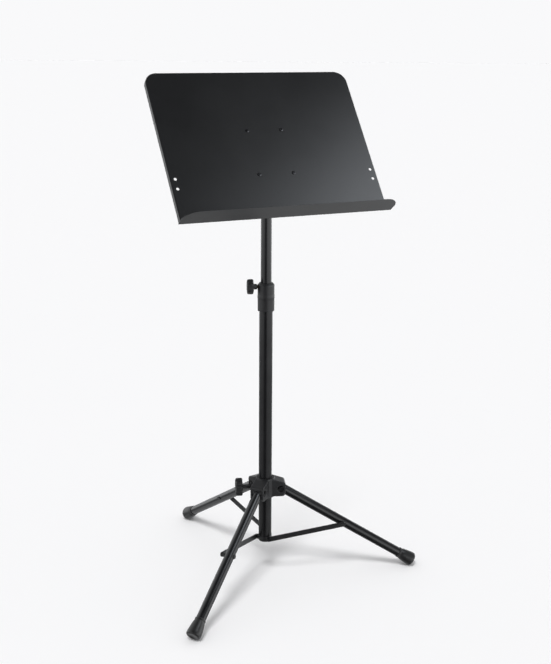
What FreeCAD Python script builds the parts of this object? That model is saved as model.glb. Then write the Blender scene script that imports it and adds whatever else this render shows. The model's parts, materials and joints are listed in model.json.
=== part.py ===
import FreeCAD, Part
import math
import os

import Sketcher
from FreeCAD import Placement, Rotation, Vector

# A folding music stand with a tilting sheet-metal desk, a clamped telescopic column
# and three tripod legs on a sliding hub.
#
# Frame: millimetres, +Z up, origin on the floor under the column axis. +X is the width
# of the desk, and the reader stands on the -Y side.

DIMENSIONS = {
    # desk: one bent sheet, a shallow pan with side flanges and a ledge along its bottom
    "desk_width": 508.0,
    "desk_height": 379.4,
    "desk_corner": 30.0,
    "flange_depth": 12.0,
    "flange_relief": 8.0,
    "sheet_thickness": 1.2,
    "bend_outer": 2.4,
    "ledge_width": 521.5,
    "ledge_depth": 54.5,
    "ledge_corner": 36.0,
    "desk_tilt": 36.5,
    "accessory_hole": 3.5,
    "accessory_hole_x": 241.3,
    "accessory_hole_low": 85.0,
    "accessory_hole_high": 109.1,
    # desk bracket and its four screws
    "screw_spacing_x": 85.0,
    "screw_spacing_v": 113.0,
    "screw_radius": 2.5,
    "screw_head_radius": 4.8,
    "screw_head_height": 2.0,
    "screw_nut_radius": 4.8,
    "screw_nut_height": 3.6,
    "bracket_plate": 2.5,
    "bracket_margin": 12.0,
    "bracket_corner": 8.0,
    "cheek_root": 34.0,
    "cheek_inner": 15.2,
    "cheek_thickness": 2.5,
    "cheek_radius": 11.0,
    # tilt pivot: height above the floor, distance behind the desk face and along the desk
    "tilt_pivot_height": 1032.0,
    "pivot_gap": 24.0,
    "pivot_along": 166.5,
    "tilt_bolt_radius": 4.0,
    "tilt_bolt_head": 7.5,
    "tilt_bolt_head_height": 5.0,
    "tilt_bolt_end": 29.0,
    "head_width": 27.0,
    "head_radius": 11.0,
    "head_plug_depth": 28.0,
    "head_shoulder": 16.5,
    "washer_radius": 9.5,
    "washer_thickness": 1.4,
    "running_clearance": 0.05,
    "face_gap": 0.25,
    # telescopic column
    "upper_tube_radius": 12.7,
    "upper_tube_length": 568.0,
    "lower_tube_radius": 15.875,
    "lower_tube_top": 718.0,
    "tube_wall": 1.2,
    "bush_length": 30.0,
    "bush_lift": 3.0,
    "plug_flange": 4.0,
    # clamp collar on top of the lower tube
    "collar_radius": 19.8,
    "collar_bottom": 673.0,
    "collar_height": 66.0,
    "collar_rim": 3.0,
    "collar_bore": 15.0,
    "collar_bead": 0.5,
    "collar_bead_height": 34.0,
    "collar_bead_half": 3.0,
    "collar_bush_flange": 16.3,
    "collar_bush_lip": 1.0,
    # clamp knobs
    "knob_azimuth": 160.0,
    "height_knob_level": 731.0,
    "height_knob_radius": 18.0,
    "height_knob_thickness": 15.0,
    "height_knob_face": 29.0,
    "height_knob_neck": 6.5,
    "hub_knob_level": 227.0,
    "hub_knob_radius": 23.0,
    "hub_knob_thickness": 17.0,
    "hub_knob_face": 54.0,
    "hub_knob_neck": 5.5,
    "tilt_knob_radius": 15.0,
    "tilt_knob_thickness": 14.0,
    "stud_radius": 4.0,
    "insert_radius": 6.0,
    "shoe_radius": 3.9,
    "shoe_hole": 4.1,
    # foot bracket under the column
    "foot_bottom": 82.6,
    "foot_height": 15.8,
    "foot_radius": 16.6,
    "foot_chamfer": 2.5,
    "foot_floor": 4.0,
    "foot_boss_radius": 6.2,
    "foot_boss_reach": 17.5,
    # struts: flat bars that lie beside the legs
    "strut_pivot_out": 8.0,
    "strut_pivot_level": 92.0,
    "strut_offset": 19.3,
    "strut_thickness": 3.0,
    "strut_height": 12.0,
    "strut_hole": 3.0,
    "rivet_head_radius": 4.8,
    "rivet_head_height": 1.8,
    # legs
    "leg_azimuth": -20.0,
    "leg_slope": 32.0,
    "leg_pivot_out": 36.9,
    "leg_pivot_level": 224.5,
    "leg_radius": 11.5,
    "leg_reach": 400.0,
    "leg_tube_start": 12.0,
    "neck_step": 0.4,
    "knuckle_insert": 25.0,
    "strut_station": 185.5,
    "boss_radius": 5.2,
    "boss_head": 13.6,
    "leg_bolt_radius": 3.0,
    "cap_length": 44.0,
    "cap_lip": 12.9,
    "cap_end": 18.0,
    "cap_lip_length": 5.0,
    "cap_floor": 8.0,
    "cap_fillet": 4.5,
    # hub that slides on the lower tube
    "hub_bottom": 202.0,
    "hub_top": 252.0,
    "hub_sleeve": 22.5,
    "lug_reach": 49.0,
    "lug_width": 34.5,
    "lug_bottom": 205.5,
    "lug_top": 241.5,
    "slot_width": 23.6,
    "slot_depth": 24.5,
    "hood_gap": 1.0,
    "liner_radius": 17.5,
    "hub_boss_radius": 8.8,
    "hub_boss_reach": 28.0,
    "recess_radius": 8.0,
    "recess_depth": 2.8,
    "bolt_head_radius": 5.8,
}

LEGS = ("right", "back", "front")
TURN = 360.0 / len(LEGS)

doc = FreeCAD.newDocument("music_stand")
dims = doc.addObject("Spreadsheet::Sheet", "dims")
for row, (alias, value) in enumerate(DIMENSIONS.items(), start=1):
    dims.set(f"A{row}", alias)
    dims.set(f"B{row}", str(value))
    dims.setAlias(f"B{row}", alias)
doc.recompute()

parts = []


def size(alias):
    """Value of a driving dimension, read back from the sheet."""
    return float(dims.get(alias))


def bind(obj, **expressions):
    """Bind properties of an object to expressions of the sheet's dimensions."""
    for prop, expression in expressions.items():
        obj.setExpression(prop, expression)
    return obj


def keep(obj, node, placement=None):
    """Name a finished sub-part after its node and list it for export."""
    obj.Label = node
    if placement is not None:
        obj.Placement = placement
    parts.append(obj)
    return obj


# ---------------------------------------------------------------- PartDesign helpers

def new_body(name):
    return doc.addObject("PartDesign::Body", name + "_body")


def sketch_on(body, role, name, height=None):
    """Empty sketch on one of the body's origin planes, lifted by an expression."""
    sketch = body.newObject("Sketcher::SketchObject", name)
    plane = next(f for f in body.Origin.OriginFeatures if f.Role == role)
    sketch.AttachmentSupport = [(plane, "")]
    sketch.MapMode = "FlatFace"
    if height is not None:
        sketch.setExpression("AttachmentOffset.Base.z", height)
    return sketch


def locate(sketch, geometry, point, x, y):
    """Fix one point of a sketch at two expressions measured from its origin."""
    for kind, expression in (("DistanceX", x), ("DistanceY", y)):
        index = sketch.addConstraint(Sketcher.Constraint(kind, -1, 1, geometry, point, 1.0))
        sketch.setExpression(f"Constraints[{index}]", expression)


def circle(sketch, radius, x=None, y=None):
    index = sketch.addGeometry(Part.Circle(Vector(1, 1, 0), Vector(0, 0, 1), 1.0))
    number = sketch.addConstraint(Sketcher.Constraint("Radius", index, 1.0))
    sketch.setExpression(f"Constraints[{number}]", radius)
    if x is None:
        sketch.addConstraint(Sketcher.Constraint("Coincident", index, 3, -1, 1))
    else:
        locate(sketch, index, 3, x, y)


def polygon(sketch, points):
    """Closed outline through points, each a pair of expressions from the origin."""
    count = len(points)
    ring = [Vector(math.cos(2 * math.pi * i / count), math.sin(2 * math.pi * i / count), 0)
            for i in range(count)]
    first = sketch.GeometryCount
    for i in range(count):
        sketch.addGeometry(Part.LineSegment(ring[i], ring[(i + 1) % count]))
    for i in range(count):
        following = first + (i + 1) % count
        sketch.addConstraint(Sketcher.Constraint("Coincident", first + i, 2, following, 1))
    for i, (x, y) in enumerate(points):
        locate(sketch, first + i, 1, x, y)


def rectangle(sketch, x_low, y_low, x_high, y_high):
    polygon(sketch, [(x_low, y_low), (x_high, y_low), (x_high, y_high), (x_low, y_high)])


def pad(body, sketch, length, middle=False, reverse=False):
    feature = body.newObject("PartDesign::Pad", sketch.Name + "_pad")
    feature.Profile = sketch
    feature.Midplane = middle
    feature.Reversed = reverse
    feature.setExpression("Length", length)
    doc.recompute()
    return feature


def pocket(body, sketch, length, middle=False, reverse=False):
    """Cut a pocket and make sure that it took material away."""
    before = body.Shape.Volume
    feature = body.newObject("PartDesign::Pocket", sketch.Name + "_pocket")
    feature.Profile = sketch
    feature.Midplane = middle
    feature.Reversed = reverse
    feature.setExpression("Length", length)
    doc.recompute()
    if not feature.Shape.Volume < before - 1e-3:
        raise ValueError(f"{feature.Name} cuts nothing")
    return feature


def revolve(body, sketch, axis="V_Axis"):
    feature = body.newObject("PartDesign::Revolution", sketch.Name + "_turned")
    feature.Profile = sketch
    feature.ReferenceAxis = (sketch, [axis])
    feature.Angle = 360
    doc.recompute()
    return feature


def polar(body, features, count, sketch, axis="N_Axis"):
    """Repeat features around the normal through a sketch's origin."""
    pattern = body.newObject("PartDesign::PolarPattern", sketch.Name + "_pattern")
    pattern.Originals = features
    pattern.Axis = (sketch, [axis])
    pattern.Angle = 360
    pattern.Occurrences = count
    body.Tip = pattern
    doc.recompute()
    return pattern


def round_edges(body, base, radius, chosen):
    """Fillet the edges of a feature that a test on each edge picks."""
    names = [f"Edge{i}" for i, edge in enumerate(base.Shape.Edges, start=1) if chosen(edge)]
    if not names:
        raise ValueError(f"no edge to round on {base.Name}")
    fillet = body.newObject("PartDesign::Fillet", base.Name + "_round")
    fillet.Base = (base, names)
    fillet.setExpression("Radius", radius)
    doc.recompute()
    if "Invalid" in fillet.State:
        raise ValueError(f"{fillet.Name} did not compute")
    return fillet


def is_parallel(edge, direction):
    """Whether an edge is a straight line along a direction."""
    if not isinstance(edge.Curve, Part.Line):
        return False
    return abs(abs(edge.Curve.Direction.dot(direction)) - 1.0) < 1e-6


# ---------------------------------------------------------------- Part helpers

ALONG_X = Rotation(Vector(0, 1, 0), 90)
ALONG_Y = Rotation(Vector(1, 0, 0), -90)
ALONG_Z = Rotation()


def rod(name, radius, length, start, turn=ALONG_Z):
    """Cylinder bound to expressions, starting at a point and running along a turn's Z."""
    obj = bind(doc.addObject("Part::Cylinder", name), Radius=radius, Height=length)
    obj.Placement = Placement(start, turn)
    return obj


def hexagon(name, across, length, start, turn=ALONG_Z):
    """Hexagonal prism with a circumradius bound to an expression."""
    obj = bind(doc.addObject("Part::Prism", name), Circumradius=across, Height=length)
    obj.Polygon = 6
    obj.Placement = Placement(start, turn)
    return obj


def fuse(name, *shapes):
    obj = doc.addObject("Part::MultiFuse", name)
    obj.Shapes = list(shapes)
    return obj


def cut(name, base, *tools):
    """Base minus the tools, joined first where there are several."""
    obj = doc.addObject("Part::Cut", name)
    obj.Base = base
    obj.Tool = tools[0] if len(tools) == 1 else fuse(name + "_tools", *tools)
    return obj


def group(name, shapes):
    """Identical fasteners held in one sub-part as separate solids."""
    obj = doc.addObject("Part::Compound", name)
    obj.Links = shapes
    return obj


def tube(node, outer, inner, length, placement):
    body = new_body(node)
    section = sketch_on(body, "XY_Plane", node + "_section")
    circle(section, outer)
    circle(section, inner)
    pad(body, section, length)
    return keep(body, node, placement)


# ---------------------------------------------------------------- shared placements

def level(height):
    return Placement(Vector(0, 0, height), Rotation())


def azimuth(angle):
    return Placement(Vector(), Rotation(Vector(0, 0, 1), angle))


def leg_turn(index):
    return azimuth(size("leg_azimuth") + TURN * index)


def leg_frame(index):
    """Frame of a leg: origin at its hub pivot, X down the leg, Y to its left."""
    pivot = Vector(size("leg_pivot_out"), 0, size("leg_pivot_level"))
    slope = Rotation(Vector(0, 1, 0), size("leg_slope"))
    return leg_turn(index) * Placement(pivot, slope)


def strut_layout():
    """Length and upward slope of a strut between its two pivots."""
    slope = math.radians(size("leg_slope"))
    station = size("strut_station")
    out = size("leg_pivot_out") + station * math.cos(slope) - size("strut_pivot_out")
    rise = size("leg_pivot_level") - station * math.sin(slope) - size("strut_pivot_level")
    return math.hypot(out, rise), math.degrees(math.atan2(rise, out))


def strut_frame(index):
    """Frame of a strut: origin at its column pivot, X along it, Y to its left."""
    pivot = Vector(size("strut_pivot_out"), -size("strut_offset"), size("strut_pivot_level"))
    slope = Rotation(Vector(0, 1, 0), -strut_layout()[1])
    return leg_turn(index) * Placement(pivot, slope)


def desk_frame():
    """Frame of the desk: origin at the tilt pivot, Y up the desk, Z out of its face."""
    lean = Rotation(Vector(1, 0, 0), 90 - size("desk_tilt"))
    return Placement(Vector(0, 0, size("tilt_pivot_height")), lean)


# ---------------------------------------------------------------- desk

def make_desk():
    body = new_body("desk")
    low = "-dims.pivot_along"
    high = "dims.desk_height - dims.pivot_along"
    half = "dims.desk_width / 2"

    face = sketch_on(body, "XY_Plane", "desk_face", "dims.pivot_gap - dims.flange_depth")
    rectangle(face, "-" + half, low, half, high)
    blank = pad(body, face, "dims.flange_depth")

    top = size("desk_height") - size("pivot_along")
    corners = round_edges(
        body, blank, "dims.desk_corner",
        lambda e: is_parallel(e, Vector(0, 0, 1)) and e.CenterOfMass.y > top - 1)
    front = size("pivot_gap")
    rim = round_edges(
        body, corners, "dims.bend_outer",
        lambda e: abs(e.CenterOfMass.z - front) < 1e-6
        and e.CenterOfMass.y > 1 - size("pivot_along"))

    hollow = sketch_on(body, "XY_Plane", "desk_hollow", "dims.pivot_gap - dims.sheet_thickness")
    skin = size("sheet_thickness")
    rounded_top(
        hollow,
        ("dims.desk_width / 2 - dims.sheet_thickness", size("desk_width") / 2 - skin),
        (low + " - 1", -size("pivot_along") - 1),
        (high + " - dims.sheet_thickness", top - skin),
        ("dims.desk_corner - dims.sheet_thickness", size("desk_corner") - skin))
    pocket(body, hollow, "dims.flange_depth")
    # the rim flange stops short of the ledge so that the two bends do not meet
    relief = sketch_on(body, "XY_Plane", "desk_relief", "dims.pivot_gap - dims.sheet_thickness")
    rectangle(relief, "-" + half + " - 1", low + " - 1", half + " + 1", low + " + dims.flange_relief")
    pocket(body, relief, "dims.flange_depth")

    ledge = sketch_on(body, "XZ_Plane", "desk_ledge", "dims.pivot_along - dims.sheet_thickness")
    rectangle(ledge, "-dims.ledge_width / 2", "dims.pivot_gap - dims.sheet_thickness",
              "dims.ledge_width / 2", "dims.pivot_gap + dims.ledge_depth")
    shelf = pad(body, ledge, "dims.sheet_thickness")
    nose = size("pivot_gap") + size("ledge_depth")
    round_edges(
        body, shelf, "dims.ledge_corner",
        lambda e: is_parallel(e, Vector(0, 1, 0)) and abs(e.CenterOfMass.z - nose) < 1e-6)

    holes = sketch_on(body, "XY_Plane", "desk_holes", "dims.pivot_gap + 1")
    for side in ("-", ""):
        for row in ("accessory_hole_low", "accessory_hole_high"):
            circle(holes, "dims.accessory_hole", side + "dims.accessory_hole_x",
                   f"dims.{row} - dims.pivot_along")
        for side_v in ("-", ""):
            circle(holes, "dims.screw_radius", side + "dims.screw_spacing_x / 2",
                   side_v + "dims.screw_spacing_v / 2")
    pocket(body, holes, "4")
    return keep(body, "desk", desk_frame())


def rounded_top(sketch, half, bottom, top, radius):
    """Outline of a plate that is square below and has two round corners above.

    Each argument is a pair: the expression it is bound to and its present value."""
    x, low, high, r = half[1], bottom[1], top[1], radius[1]
    lines = [((-x, high - r), (-x, low)), ((-x, low), (x, low)),
             ((x, low), (x, high - r)), ((x - r, high), (r - x, high))]
    for start, end in lines:
        sketch.addGeometry(Part.LineSegment(Vector(*start, 0), Vector(*end, 0)))
    quarter = math.pi / 2
    for centre, first in ((x - r, 0), (r - x, quarter)):
        arc = Part.Circle(Vector(centre, high - r, 0), Vector(0, 0, 1), r)
        sketch.addGeometry(Part.ArcOfCircle(arc, first, first + quarter))
    join = Sketcher.Constraint
    for one, other in ((0, 1), (1, 2)):
        sketch.addConstraint(join("Coincident", one, 2, other, 1))
    for one, other in ((2, 4), (4, 3), (3, 5), (5, 0)):
        sketch.addConstraint(join("Tangent", one, 2, other, 1))
    for line in (0, 2):
        sketch.addConstraint(join("Vertical", line))
    sketch.addConstraint(join("Horizontal", 1))
    for arc in (4, 5):
        number = sketch.addConstraint(join("Radius", arc, r))
        sketch.setExpression(f"Constraints[{number}]", radius[0])
    for kind, geometry, point, value in (
            ("DistanceX", 1, 2, half), ("DistanceY", 1, 2, bottom),
            ("DistanceX", 1, 1, ("-(" + half[0] + ")", -x)), ("DistanceY", 3, 1, top)):
        number = sketch.addConstraint(join(kind, -1, 1, geometry, point, value[1]))
        sketch.setExpression(f"Constraints[{number}]", value[0])


def make_bracket():
    """Pressed bracket: a plate on the desk's back and two cheeks around the tilt head."""
    body = new_body("desk_bracket")
    back = "dims.pivot_gap - dims.sheet_thickness"
    plate = sketch_on(body, "XY_Plane", "bracket_plate_face", back + " - dims.bracket_plate")
    half_x = "(dims.screw_spacing_x / 2 + dims.bracket_margin)"
    half_v = "(dims.screw_spacing_v / 2 + dims.bracket_margin)"
    rectangle(plate, "-" + half_x, "-" + half_v, half_x, half_v)
    flat = pad(body, plate, "dims.bracket_plate")
    flat = round_edges(body, flat, "dims.bracket_corner",
                       lambda e: is_parallel(e, Vector(0, 0, 1)))

    # sketch axes on the YZ plane: first along the desk, second out of its face
    root = back + " - dims.bracket_plate / 2"
    cheeks = sketch_on(body, "YZ_Plane", "bracket_cheeks")
    polygon(cheeks, [("-dims.cheek_root", root), ("dims.cheek_root", root),
                     ("dims.cheek_radius", "0"), ("-dims.cheek_radius", "0")])
    pad(body, cheeks, "2 * (dims.cheek_inner + dims.cheek_thickness)", middle=True)
    eyes = sketch_on(body, "YZ_Plane", "bracket_eyes")
    circle(eyes, "dims.cheek_radius")
    pad(body, eyes, "2 * (dims.cheek_inner + dims.cheek_thickness)", middle=True)
    gap = sketch_on(body, "YZ_Plane", "bracket_gap")
    rectangle(gap, "-dims.cheek_root - 5", "-dims.cheek_radius - 1", "dims.cheek_root + 5",
              back + " - dims.bracket_plate")
    pocket(body, gap, "2 * dims.cheek_inner", middle=True)
    bore = sketch_on(body, "YZ_Plane", "bracket_bore")
    circle(bore, "dims.tilt_bolt_radius")
    pocket(body, bore, "80", middle=True)
    holes = sketch_on(body, "XY_Plane", "bracket_holes", "dims.pivot_gap")
    for side in ("-", ""):
        for side_v in ("-", ""):
            circle(holes, "dims.screw_radius", side + "dims.screw_spacing_x / 2",
                   side_v + "dims.screw_spacing_v / 2")
    pocket(body, holes, "10")
    return keep(body, "desk_bracket", desk_frame())


def make_desk_fasteners():
    face = size("pivot_gap")
    behind = face - size("sheet_thickness") - size("bracket_plate")
    screws, nuts = [], []
    for number in range(4):
        x = size("screw_spacing_x") / 2 * (1 if number % 2 else -1)
        v = size("screw_spacing_v") / 2 * (1 if number // 2 else -1)
        shank = rod(f"desk_screw_shank_{number}", "dims.screw_radius",
                    "dims.sheet_thickness + dims.bracket_plate + dims.screw_nut_height + 1.5",
                    Vector(x, v, behind - size("screw_nut_height") - 1.5))
        head = rod(f"desk_screw_head_{number}", "dims.screw_head_radius",
                   "dims.screw_head_height", Vector(x, v, face))
        crown = bind(doc.addObject("Part::Fillet", f"desk_screw_crown_{number}"))
        crown.Base = head
        doc.recompute()
        rim = [i for i, edge in enumerate(head.Shape.Edges, start=1)
               if isinstance(edge.Curve, Part.Circle) and edge.CenterOfMass.z > face + 1]
        crown.Edges = [(i, 1.2, 1.2) for i in rim]
        screws.append(fuse(f"desk_screw_{number}", shank, crown))
        nut = hexagon(f"desk_nut_blank_{number}", "dims.screw_nut_radius",
                      "dims.screw_nut_height",
                      Vector(x, v, behind - size("screw_nut_height")))
        hole = rod(f"desk_nut_hole_{number}", "dims.screw_radius", "dims.screw_nut_height",
                   Vector(x, v, behind - size("screw_nut_height")))
        nuts.append(cut(f"desk_nut_{number}", nut, hole))
    keep(group("desk_screws", screws), "desk_screws", desk_frame())
    keep(group("desk_nuts", nuts), "desk_nuts", desk_frame())


# ---------------------------------------------------------------- tilt pivot

def make_tilt_bolt():
    cheek = size("cheek_inner") + size("cheek_thickness")
    shank = rod("tilt_bolt_shank", "dims.tilt_bolt_radius",
                "dims.cheek_inner + dims.cheek_thickness + dims.tilt_bolt_end",
                Vector(-cheek, 0, 0), ALONG_X)
    head = hexagon("tilt_bolt_cap", "dims.tilt_bolt_head", "dims.tilt_bolt_head_height",
                   Vector(-cheek - size("tilt_bolt_head_height"), 0, 0), ALONG_X)
    keep(fuse("tilt_bolt_whole", shank, head), "tilt_bolt", desk_frame())


def make_friction_washers():
    washers = []
    for side, start in (("left", -size("cheek_inner")),
                        ("right", size("cheek_inner") - size("washer_thickness"))):
        disc = rod(f"washer_disc_{side}", "dims.washer_radius", "dims.washer_thickness",
                   Vector(start, 0, 0), ALONG_X)
        hole = rod(f"washer_hole_{side}", "dims.tilt_bolt_radius", "dims.washer_thickness",
                   Vector(start, 0, 0), ALONG_X)
        washers.append(cut(f"friction_washer_{side}", disc, hole))
    keep(group("friction_washers", washers), "friction_washers", desk_frame())


def make_tilt_head():
    """Cast head: a plug in the upper tube and a round eye for the tilt bolt."""
    drop = size("head_shoulder")
    plug = rod("tilt_head_plug", "dims.upper_tube_radius - dims.tube_wall",
               "dims.head_plug_depth + 1", Vector(0, 0, -drop - size("head_plug_depth")))
    shoulder = rod("tilt_head_shoulder", "dims.upper_tube_radius", "4", Vector(0, 0, -drop))
    neck = bind(doc.addObject("Part::Box", "tilt_head_neck"), Length="dims.head_width - 4",
                Width="2 * dims.head_radius - 4", Height="dims.head_shoulder")
    neck.Placement = Placement(
        Vector(2 - size("head_width") / 2, 2 - size("head_radius"), -drop), Rotation())
    eye = rod("tilt_head_eye", "dims.head_radius", "dims.head_width",
              Vector(-size("head_width") / 2, 0, 0), ALONG_X)
    bore = rod("tilt_head_bore", "dims.tilt_bolt_radius + dims.running_clearance",
               "dims.head_width + 2", Vector(-size("head_width") / 2 - 1, 0, 0), ALONG_X)
    whole = cut("tilt_head_whole", fuse("tilt_head_cast", plug, shoulder, neck, eye), bore)
    keep(whole, "tilt_head", level(size("tilt_pivot_height")))


# ---------------------------------------------------------------- knobs

def make_knob(node, radius, thickness, neck, neck_length, flutes, bore, placement):
    """Fluted knob turned about Z: a neck from the origin down to its face, a domed crown."""
    body = new_body(node)
    profile = sketch_on(body, "XZ_Plane", node + "_profile")
    polygon(profile, [
        (bore, f"-({neck_length})"),
        (neck, f"-({neck_length})"),
        (neck, "0"),
        (f"{radius} - 1.5", "0"),
        (radius, "1.5"),
        (radius, f"0.62 * {thickness}"),
        (f"0.93 * {radius}", f"0.82 * {thickness}"),
        (f"0.75 * {radius}", f"0.94 * {thickness}"),
        (f"0.4 * {radius}", thickness),
        ("0", thickness),
        ("0", f"0.7 * {thickness}"),
        (bore, f"0.7 * {thickness}"),
    ])
    revolve(body, profile)
    flute = sketch_on(body, "XY_Plane", node + "_flute", "-1")
    circle(flute, f"0.24 * {radius}", f"1.13 * {radius}", "0")
    groove = pocket(body, flute, f"{thickness} + 2", reverse=True)
    polar(body, [groove], flutes, flute)
    return keep(body, node, placement)


def clamp_frame(height, out):
    """Frame on a clamp screw's axis: Z points outwards, away from the column."""
    outwards = Placement(Vector(out, 0, height), ALONG_X)
    return azimuth(size("knob_azimuth")) * outwards


def make_clamp(prefix, height, knob, flutes, stud_start, insert_start, insert_end, shoe_start):
    """Clamp screw: knob, stud, threaded insert and the shoe that presses on the tube."""
    face = size(f"{knob}_face")
    wall = insert_end + 0.6
    make_knob(f"{prefix}_knob", f"dims.{knob}_radius", f"dims.{knob}_thickness",
              f"dims.{knob}_neck", f"{face} - {wall}", flutes, "dims.stud_radius",
              clamp_frame(height, face))
    inner_end = face + 0.7 * size(f"{knob}_thickness")
    stud = rod(f"{prefix}_stud_rod", "dims.stud_radius", f"{inner_end - stud_start}", Vector())
    keep(stud, f"{prefix}_stud", clamp_frame(height, stud_start))
    ring = rod(f"{prefix}_insert_ring", "dims.insert_radius", f"{insert_end - insert_start}",
               Vector())
    thread = rod(f"{prefix}_insert_thread", "dims.stud_radius + dims.running_clearance",
                 f"{insert_end - insert_start}", Vector())
    keep(cut(f"{prefix}_insert_cut", ring, thread), f"{prefix}_insert",
         clamp_frame(height, insert_start))
    shoe = rod(f"{prefix}_shoe_disc", "dims.shoe_radius", f"{stud_start - 0.2 - shoe_start}",
               Vector())
    keep(shoe, f"{prefix}_shoe", clamp_frame(height, shoe_start))


# ---------------------------------------------------------------- column

def make_column():
    inner = "dims.{0}_tube_radius - dims.tube_wall"
    foot = size("foot_bottom") + size("foot_floor")
    tube("lower_tube", "dims.lower_tube_radius", inner.format("lower"),
         "dims.lower_tube_top - dims.foot_bottom - dims.foot_floor", level(foot))
    shoulder = size("tilt_pivot_height") - size("head_shoulder")
    bottom = shoulder - size("upper_tube_length")
    tube("upper_tube", "dims.upper_tube_radius", inner.format("upper"),
         "dims.upper_tube_length", level(bottom))
    tube("guide_bush", "dims.lower_tube_radius - dims.tube_wall - dims.running_clearance",
         "dims.upper_tube_radius + dims.running_clearance", "dims.bush_length",
         level(bottom + size("bush_lift")))
    insert = rod("tube_plug_insert", "dims.upper_tube_radius - dims.tube_wall", "20", Vector())
    flange = rod("tube_plug_flange", "dims.upper_tube_radius + 0.8", "dims.plug_flange",
                 Vector(0, 0, -size("plug_flange")))
    keep(fuse("tube_plug_whole", insert, flange), "tube_plug", level(bottom))


def make_collar():
    """Clamp collar: a stepped sleeve with a raised rib and a chamfered rim."""
    body = new_body("height_collar")
    rib = "dims.collar_bead_height"
    half = "dims.collar_bead_half"
    step = "dims.lower_tube_top - dims.collar_bottom"
    profile = sketch_on(body, "XZ_Plane", "collar_profile")
    polygon(profile, [
        ("dims.lower_tube_radius", "0"),
        ("dims.collar_radius - 0.6", "0"),
        ("dims.collar_radius", "0.6"),
        ("dims.collar_radius", f"{rib} - 2 * {half}"),
        ("dims.collar_radius + dims.collar_bead", f"{rib} - {half} / 2"),
        ("dims.collar_radius + dims.collar_bead", f"{rib} + {half} / 2"),
        ("dims.collar_radius", f"{rib} + 2 * {half}"),
        ("dims.collar_radius", "dims.collar_height - dims.collar_rim"),
        ("dims.collar_radius - dims.collar_rim", "dims.collar_height"),
        ("dims.collar_bore", "dims.collar_height"),
        ("dims.collar_bore", step),
        ("dims.lower_tube_radius", step),
    ])
    revolve(body, profile)
    level_of_screw = "dims.height_knob_level - dims.collar_bottom"
    hole = sketch_on(body, "YZ_Plane", "collar_hole")
    circle(hole, "dims.insert_radius", "0", level_of_screw)
    pocket(body, hole, "dims.collar_radius + 5")
    keep(body, "height_collar", azimuth(size("knob_azimuth") - 180) * level(size("collar_bottom")))

    step_height = size("lower_tube_top")
    sleeve = rod("collar_bush_sleeve", "dims.collar_bore",
                 "dims.collar_bottom + dims.collar_height - dims.lower_tube_top",
                 Vector(0, 0, step_height))
    top = size("collar_bottom") + size("collar_height")
    lip = rod("collar_bush_rim", "dims.collar_bush_flange", "dims.collar_bush_lip",
              Vector(0, 0, top))
    bore = rod("collar_bush_bore", "dims.upper_tube_radius + dims.running_clearance", "60",
               Vector(0, 0, step_height - 10))
    window = rod("collar_bush_window", "dims.shoe_hole", "30", Vector())
    window.Placement = clamp_frame(size("height_knob_level"), 5)
    keep(cut("collar_bush_cut", fuse("collar_bush_blank", sleeve, lip), bore, window),
         "collar_bush", Placement())


def make_foot_bracket():
    """Cup under the column with three bosses that carry the struts."""
    cup = rod("foot_cup", "dims.foot_radius", "dims.foot_height", Vector())
    doc.recompute()
    edge = [i for i, e in enumerate(cup.Shape.Edges, start=1)
            if isinstance(e.Curve, Part.Circle) and e.CenterOfMass.z < 1]
    chamfered = doc.addObject("Part::Chamfer", "foot_cup_edge")
    chamfered.Base = cup
    chamfered.Edges = [(i, size("foot_chamfer"), size("foot_chamfer")) for i in edge]
    pivot_out = size("strut_pivot_out")
    pivot_level = size("strut_pivot_level") - size("foot_bottom")
    pin_depth = size("foot_boss_reach") - 7
    bosses, holes, pins = [], [], []
    for index, name in enumerate(LEGS):
        axis = Placement(Vector(pivot_out, 0, pivot_level), Rotation(Vector(1, 0, 0), 90))
        turn = leg_turn(index)
        boss = rod(f"foot_boss_{name}", "dims.foot_boss_radius", "dims.foot_boss_reach",
                   Vector())
        boss.Placement = turn * axis
        bosses.append(boss)
        outwards = turn * axis * level(pin_depth)
        hole = rod(f"foot_hole_{name}", "dims.strut_hole - dims.running_clearance", "20",
                   Vector())
        hole.Placement = outwards
        holes.append(hole)
        outer = size("strut_offset") + size("strut_thickness") / 2 + 0.15
        pin = rod(f"strut_pin_shank_{name}", "dims.strut_hole - dims.running_clearance",
                  f"{outer - pin_depth}", Vector())
        pin.Placement = outwards
        head = rod(f"strut_pin_head_{name}", "dims.rivet_head_radius",
                   "dims.rivet_head_height", Vector())
        head.Placement = turn * axis * level(outer)
        pins.append(fuse(f"strut_pin_{name}", pin, head))
    well = rod("foot_well", "dims.lower_tube_radius", "40", Vector(0, 0, size("foot_floor")))
    cast = cut("foot_bracket_cut", fuse("foot_bracket_cast", chamfered, *bosses), well, *holes)
    keep(cast, "foot_bracket", level(size("foot_bottom")))
    keep(cut("strut_pins_cut", group("strut_pins_group", pins),
             rod("strut_pins_well", "dims.lower_tube_radius", "40", Vector(0, 0, 4))),
         "strut_pins", level(size("foot_bottom")))


# ---------------------------------------------------------------- hub

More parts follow.
